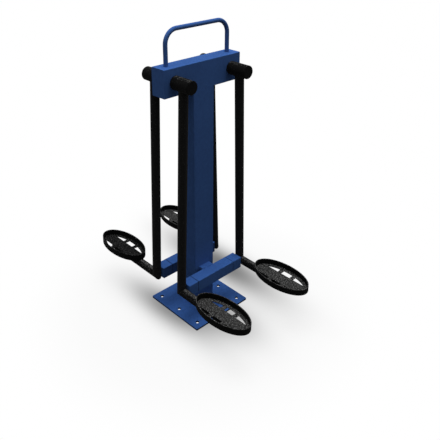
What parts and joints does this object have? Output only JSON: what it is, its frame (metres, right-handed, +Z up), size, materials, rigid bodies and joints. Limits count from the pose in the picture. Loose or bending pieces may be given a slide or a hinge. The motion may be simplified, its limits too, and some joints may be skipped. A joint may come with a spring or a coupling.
{
  "type": "outdoor leg abduction trainer",
  "caption": "Outdoor leg abduction trainer: post on a base plate, crossbeam with grab handle, and swinging arms with oval foot trays that hang against bumper bars.",
  "frame": {"origin": "on the ground, under the centre of the base plate", "axes": "+Z up, +X along the crossbeam towards the right, the front user stands towards -Y"},
  "size_m": [0.5538, 1.06, 1.4403],
  "materials": {
    "blue_coat": "satin powder coat",
    "blue_buffer": "satin",
    "bright_steel": "turned",
    "black_coat": "textured powder coat",
    "black_cap": "textured powder coat",
    "tray_grit": "gritty powder coat",
    "bush_polymer": "moulded"
  },
  "bodies": {
    "frame": {"base_plate": "blue_coat", "post": "blue_coat", "crossbeam": "blue_coat", "beam_end_plate_left": "blue_coat", "beam_end_plate_right": "blue_coat", "handle": "blue_coat", "bumper_bar_front": "blue_coat", "bumper_bar_rear": "blue_coat", "bumper_stub_front": "blue_coat", "bumper_stub_rear": "blue_coat", "shaft_sleeve_left": "blue_coat", "shaft_sleeve_right": "blue_coat", "buffer_front_left": "blue_buffer", "buffer_front_right": "blue_buffer", "buffer_rear_left": "blue_buffer", "buffer_rear_right": "blue_buffer", "pivot_shaft_left": "bright_steel", "pivot_shaft_right": "bright_steel", "thrust_washers": "bright_steel", "shaft_lock_nuts": "bright_steel"},
    "front_left_arm": {"hub_housing_front_left": "black_coat", "hub_bushes_front_left": "bush_polymer", "hub_cap_front_left": "black_cap", "arm_tube_front_left": "black_coat", "foot_tube_front_left": "black_coat", "foot_tube_disc_front_left": "black_coat", "foot_tray_front_left": "tray_grit"},
    "front_right_arm": {"hub_housing_front_right": "black_coat", "hub_bushes_front_right": "bush_polymer", "hub_cap_front_right": "black_cap", "arm_tube_front_right": "black_coat", "foot_tube_front_right": "black_coat", "foot_tube_disc_front_right": "black_coat", "foot_tray_front_right": "tray_grit"},
    "rear_left_arm": {"hub_housing_rear_left": "black_coat", "hub_bushes_rear_left": "bush_polymer", "hub_cap_rear_left": "black_cap", "arm_tube_rear_left": "black_coat", "foot_tube_rear_left": "black_coat", "foot_tube_disc_rear_left": "black_coat", "foot_tray_rear_left": "tray_grit"},
    "rear_right_arm": {"hub_housing_rear_right": "black_coat", "hub_bushes_rear_right": "bush_polymer", "hub_cap_rear_right": "black_cap", "arm_tube_rear_right": "black_coat", "foot_tube_rear_right": "black_coat", "foot_tube_disc_rear_right": "black_coat", "foot_tray_rear_right": "tray_grit"}
  },
  "joints": [
    {"name": "front_left_swing", "type": "hinge", "parent": "frame", "child": "front_left_arm", "pos_m": [-0.163, 0, 1.2205], "axis": [0, 1, 0], "range_deg": [0, 45]},
    {"name": "front_right_swing", "type": "hinge", "parent": "frame", "child": "front_right_arm", "pos_m": [0.163, 0, 1.2205], "axis": [0, -1, 0], "range_deg": [0, 45]},
    {"name": "rear_left_swing", "type": "hinge", "parent": "frame", "child": "rear_left_arm", "pos_m": [-0.163, 0, 1.2205], "axis": [0, 1, 0], "range_deg": [0, 45]},
    {"name": "rear_right_swing", "type": "hinge", "parent": "frame", "child": "rear_right_arm", "pos_m": [0.163, 0, 1.2205], "axis": [0, -1, 0], "range_deg": [0, 45]}
  ]
}
